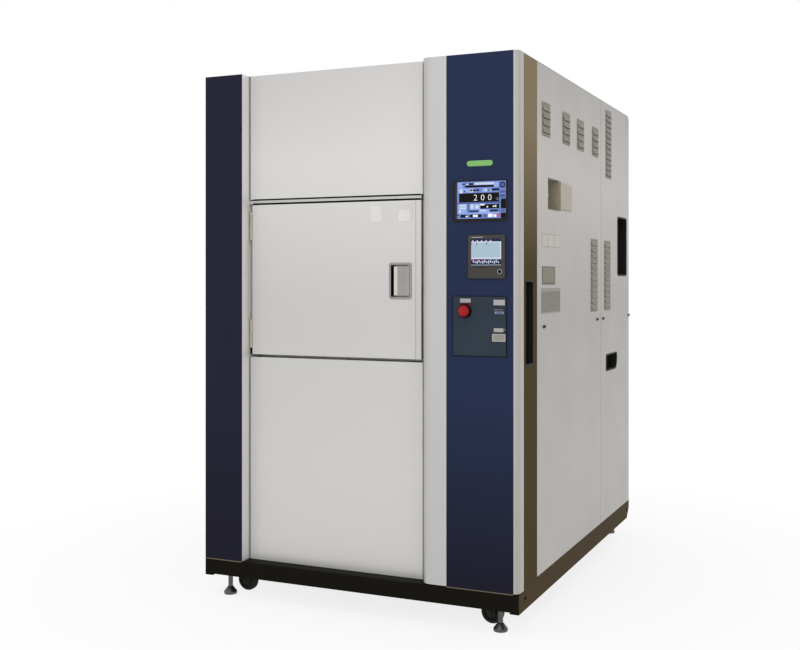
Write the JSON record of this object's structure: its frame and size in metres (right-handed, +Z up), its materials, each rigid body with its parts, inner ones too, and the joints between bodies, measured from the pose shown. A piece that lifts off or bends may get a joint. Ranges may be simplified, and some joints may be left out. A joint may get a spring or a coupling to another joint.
{
  "type": "environmental test chamber",
  "caption": "Floor-standing thermal shock test chamber: flush door with a paddle handle, hinged control column, vented side panels, levelling feet and casters.",
  "frame": {"origin": "on the floor below the middle of the cabinet", "axes": "+X to the right seen from the front, +Y from the front to the back, +Z up"},
  "size_m": [1.165, 1.599, 1.82],
  "materials": {
    "silver_paint": "satin",
    "side_paint": "satin",
    "navy_paint": "satin",
    "olive_paint": "satin",
    "black_moulding": "matte",
    "stainless_sheet": "brushed",
    "foam": "matte",
    "handle_metal": "satin",
    "zinc_steel": "zinc plated",
    "black_rubber": "matte",
    "gasket_rubber": "matte",
    "display_glass": "gloss",
    "instrument_plastic": "fine texture",
    "lamp_green": "gloss",
    "stop_red": "gloss",
    "switch_paint": "satin",
    "coil_metal": "heat tinted",
    "fin_metal": "plain",
    "machine_black": "gloss",
    "device_grey": "matte"
  },
  "bodies": {
    "cabinet": {"back_panel": "side_paint", "base_deck": "olive_paint", "base_frame": "olive_paint", "breaker_pocket": "black_moulding", "door_surround": "stainless_sheet", "electrical_panel": "device_grey", "evaporator_coil": "fin_metal", "fan_motors": "machine_black", "front_posts": "olive_paint", "grip_pockets": "black_moulding", "heater_coil": "coil_metal", "hinge_frame_halves": "zinc_steel", "insulation": "foam", "left_column_cover": "silver_paint", "left_column_inlay": "navy_paint", "left_side_panels": "side_paint", "lower_front_panel": "silver_paint", "rear_connections": "zinc_steel", "refrigeration_unit": "machine_black", "right_front_side_panel": "side_paint", "right_rear_side_panel": "side_paint", "roof_panel": "side_paint", "side_vent_grilles": "side_paint", "specimen_shelf": "stainless_sheet", "test_area_liner": "stainless_sheet", "upper_front_panel": "silver_paint"},
    "door": {"door_skin": "silver_paint", "door_core": "stainless_sheet", "door_gasket": "gasket_rubber", "handle_bezel": "handle_metal", "hinge_door_halves": "zinc_steel"},
    "paddle": {"handle_paddle": "handle_metal"},
    "bolt": {"latch_bolt": "zinc_steel"},
    "control_column": {"control_fascia": "silver_paint", "control_inlay": "navy_paint", "status_lamp": "lamp_green", "touch_panel": "instrument_plastic", "display_screens": "display_glass", "chart_recorder": "instrument_plastic", "switch_panel": "switch_paint"},
    "recorder_key": {"recorder_button": "device_grey"},
    "stop_head": {"estop_button": "stop_red"},
    "column_lock": {"fascia_lock": "zinc_steel"},
    "breaker_cover": {"breaker_flap": "side_paint"},
    "breaker_lever": {"breaker_toggle": "device_grey"},
    "hot_impeller": {"hot_fan": "stainless_sheet"},
    "cold_impeller": {"cold_fan": "stainless_sheet"},
    "condenser_propeller": {"condenser_fan": "machine_black"},
    "hot_flap": {"hot_damper": "stainless_sheet"},
    "cold_flap": {"cold_damper": "stainless_sheet"},
    "front_left_leveller": {"front_left_foot": "zinc_steel"},
    "front_left_roller": {"front_left_wheel": "black_rubber"},
    "front_right_leveller": {"front_right_foot": "zinc_steel"},
    "front_right_roller": {"front_right_wheel": "black_rubber"},
    "rear_left_leveller": {"rear_left_foot": "zinc_steel"},
    "rear_left_roller": {"rear_left_wheel": "black_rubber"},
    "rear_right_leveller": {"rear_right_foot": "zinc_steel"},
    "rear_right_roller": {"rear_right_wheel": "black_rubber"},
    "front_left_swivel": {"front_left_fork": "zinc_steel"},
    "front_right_swivel": {"front_right_fork": "zinc_steel"}
  },
  "joints": [
    {"name": "door_hinge", "type": "hinge", "parent": "cabinet", "child": "door", "pos_m": [-0.4205, -0.725, 1.1075], "axis": [0, 0, -1], "range_deg": [0, 90]},
    {"name": "handle_pull", "type": "hinge", "parent": "door", "child": "paddle", "pos_m": [0.18, -0.719, 1.1035], "axis": [0, 0, 1], "range_deg": [0, 35], "stiffness_Nm_per_rad": 0.6, "springref_deg": -11.46},
    {"name": "latch_slide", "type": "slide", "parent": "door", "child": "bolt", "axis": [-1, 0, 0], "range_m": [0, 0.0087]},
    {"name": "control_column_hinge", "type": "hinge", "parent": "cabinet", "child": "control_column", "pos_m": [0.2535, -0.733, 0.9765], "axis": [0, 0, -1], "range_deg": [0, 90]},
    {"name": "column_lock_turn", "type": "hinge", "parent": "control_column", "child": "column_lock", "pos_m": [0.532, -0.775, 0.953], "axis": [0, -1, 0], "range_deg": [0, 90]},
    {"name": "recorder_button_press", "type": "slide", "parent": "control_column", "child": "recorder_key", "axis": [0, 1, 0], "range_m": [0, 0.0015], "stiffness_N_per_m": 300, "springref_m": -0.002},
    {"name": "stop_button_press", "type": "slide", "parent": "control_column", "child": "stop_head", "axis": [0, 1, 0], "range_m": [0, 0.004]},
    {"name": "breaker_cover_hinge", "type": "hinge", "parent": "cabinet", "child": "breaker_cover", "pos_m": [0.58, -0.3185, 1.397], "axis": [0, 0, -1], "range_deg": [0, 180]},
    {"name": "breaker_lever_switch", "type": "hinge", "parent": "cabinet", "child": "breaker_lever", "pos_m": [0.543, -0.3935, 1.397], "axis": [0, 1, 0], "range_deg": [-30, 30]},
    {"name": "front_left_caster_swivel", "type": "hinge", "parent": "cabinet", "child": "front_left_swivel", "pos_m": [-0.434, -0.68, 0.084], "axis": [0, 0, 1], "continuous": true},
    {"name": "front_left_wheel_spin", "type": "hinge", "parent": "front_left_swivel", "child": "front_left_roller", "pos_m": [-0.459, -0.68, 0.0425], "axis": [0, 1, 0], "continuous": true},
    {"name": "rear_left_wheel_spin", "type": "hinge", "parent": "cabinet", "child": "rear_left_roller", "pos_m": [-0.459, 0.68, 0.0425], "axis": [1, 0, 0], "continuous": true},
    {"name": "front_right_caster_swivel", "type": "hinge", "parent": "cabinet", "child": "front_right_swivel", "pos_m": [0.434, -0.68, 0.084], "axis": [0, 0, 1], "continuous": true},
    {"name": "front_right_wheel_spin", "type": "hinge", "parent": "front_right_swivel", "child": "front_right_roller", "pos_m": [0.459, -0.68, 0.0425], "axis": [0, 1, 0], "continuous": true},
    {"name": "rear_right_wheel_spin", "type": "hinge", "parent": "cabinet", "child": "rear_right_roller", "pos_m": [0.459, 0.68, 0.0425], "axis": [1, 0, 0], "continuous": true},
    {"name": "front_left_foot_turn", "type": "hinge", "parent": "cabinet", "child": "front_left_leveller", "pos_m": [-0.502, -0.73, 0.009], "axis": [0, 0, 1], "continuous": true},
    {"name": "front_right_foot_turn", "type": "hinge", "parent": "cabinet", "child": "front_right_leveller", "pos_m": [0.502, -0.73, 0.009], "axis": [0, 0, 1], "continuous": true},
    {"name": "rear_left_foot_turn", "type": "hinge", "parent": "cabinet", "child": "rear_left_leveller", "pos_m": [-0.502, 0.73, 0.009], "axis": [0, 0, 1], "continuous": true},
    {"name": "rear_right_foot_turn", "type": "hinge", "parent": "cabinet", "child": "rear_right_leveller", "pos_m": [0.502, 0.73, 0.009], "axis": [0, 0, 1], "continuous": true},
    {"name": "hot_fan_spin", "type": "hinge", "parent": "cabinet", "child": "hot_impeller", "pos_m": [-0.09, -0.1247, 1.5095], "axis": [0, 1, 0], "continuous": true},
    {"name": "cold_fan_spin", "type": "hinge", "parent": "cabinet", "child": "cold_impeller", "pos_m": [-0.09, -0.1247, 0.7055], "axis": [0, 1, 0], "continuous": true},
    {"name": "condenser_fan_spin", "type": "hinge", "parent": "cabinet", "child": "condenser_propeller", "pos_m": [0, 0.583, 0.301], "axis": [0, 1, 0], "continuous": true},
    {"name": "hot_damper_hinge", "type": "hinge", "parent": "cabinet", "child": "hot_flap", "pos_m": [-0.09, -0.2537, 1.3613], "axis": [-1, 0, 0], "range_deg": [0, 60]},
    {"name": "cold_damper_hinge", "type": "hinge", "parent": "cabinet", "child": "cold_flap", "pos_m": [-0.09, -0.2537, 0.8537], "axis": [1, 0, 0], "range_deg": [0, 60]}
  ],
  "couplings": [
    {"joint": "latch_slide", "follows": "handle_pull", "m_per_rad": 0.014084}
  ]
}
